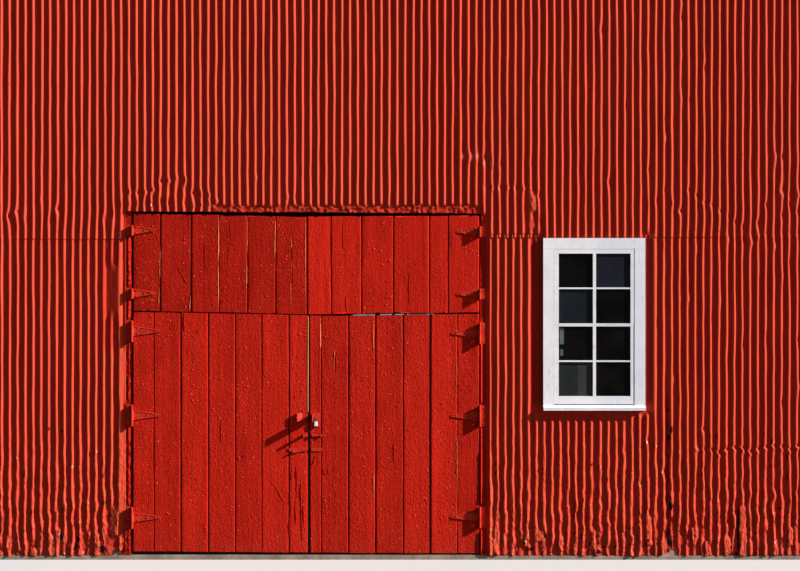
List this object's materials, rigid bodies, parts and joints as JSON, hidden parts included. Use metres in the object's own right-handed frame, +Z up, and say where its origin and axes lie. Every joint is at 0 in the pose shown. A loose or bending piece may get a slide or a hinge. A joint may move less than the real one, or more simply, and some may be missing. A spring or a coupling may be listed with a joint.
{
  "type": "barn wall with double doors and window",
  "caption": "Stretch of corrugated steel barn wall on a timber frame, with side-hung double plank doors, hatch leaves above them and a small sash window.",
  "frame": {"origin": "underside of the footing in the plane of the girts' outer faces, halfway along the wall", "axes": "+X along the wall to the right seen from outside, +Z up, the weather side faces -Y"},
  "size_m": [7.3152, 0.302, 4.95],
  "materials": {
    "red_sheet": "weathered gloss paint over galvanised sheet",
    "red_planks": "weathered red paint",
    "red_iron": "red paint over old rust",
    "bare_timber": "rough sawn, aged",
    "concrete": "rough concrete",
    "white_wood": "white paint",
    "glass": "dark, with the unlit barn behind",
    "lock_steel": "worn"
  },
  "bodies": {
    "wall": {"footing": "concrete", "threshold": "concrete", "sill_plates": "bare_timber", "end_posts": "bare_timber", "door_posts": "bare_timber", "window_studs": "bare_timber", "door_header": "bare_timber", "header_stud": "bare_timber", "top_plate": "bare_timber", "girts_above_doors": "bare_timber", "girts_left": "bare_timber", "girts_right": "bare_timber", "jamb_boards": "red_planks", "door_stops": "bare_timber", "cladding_upper_left": "red_sheet", "cladding_over_doors": "red_sheet", "cladding_upper_right": "red_sheet", "cladding_lower_left": "red_sheet", "cladding_beside_door": "red_sheet", "cladding_under_window": "red_sheet", "cladding_lower_right": "red_sheet", "cladding_patch": "red_sheet", "upper_left_door": "red_planks", "upper_right_door": "red_planks", "upper_door_ledges": "bare_timber", "upper_door_straps": "red_iron", "hinge_plates": "red_iron", "window_casing": "white_wood", "window_sill": "white_wood", "window_frame": "white_wood", "upper_sash": "white_wood", "lower_sash": "white_wood", "window_glass": "glass"},
    "left_door": {"left_door_planks": "red_planks", "left_door_ledges": "bare_timber", "left_door_braces": "bare_timber", "left_door_straps": "red_iron", "left_door_latches": "red_iron"},
    "right_door": {"right_door_planks": "red_planks", "right_door_ledges": "bare_timber", "right_door_braces": "bare_timber", "right_door_straps": "red_iron", "right_door_hasp": "red_iron", "right_door_padlock": "lock_steel", "right_door_latches": "red_iron"}
  },
  "joints": [
    {"name": "left_door_hinge", "type": "hinge", "parent": "wall", "child": "left_door", "pos_m": [-2.306, -0.04, 1], "axis": [0, 0, -1], "range_deg": [0, 165]},
    {"name": "right_door_hinge", "type": "hinge", "parent": "wall", "child": "right_door", "pos_m": [0.687, -0.04, 1], "axis": [0, 0, 1], "range_deg": [0, 165]}
  ]
}
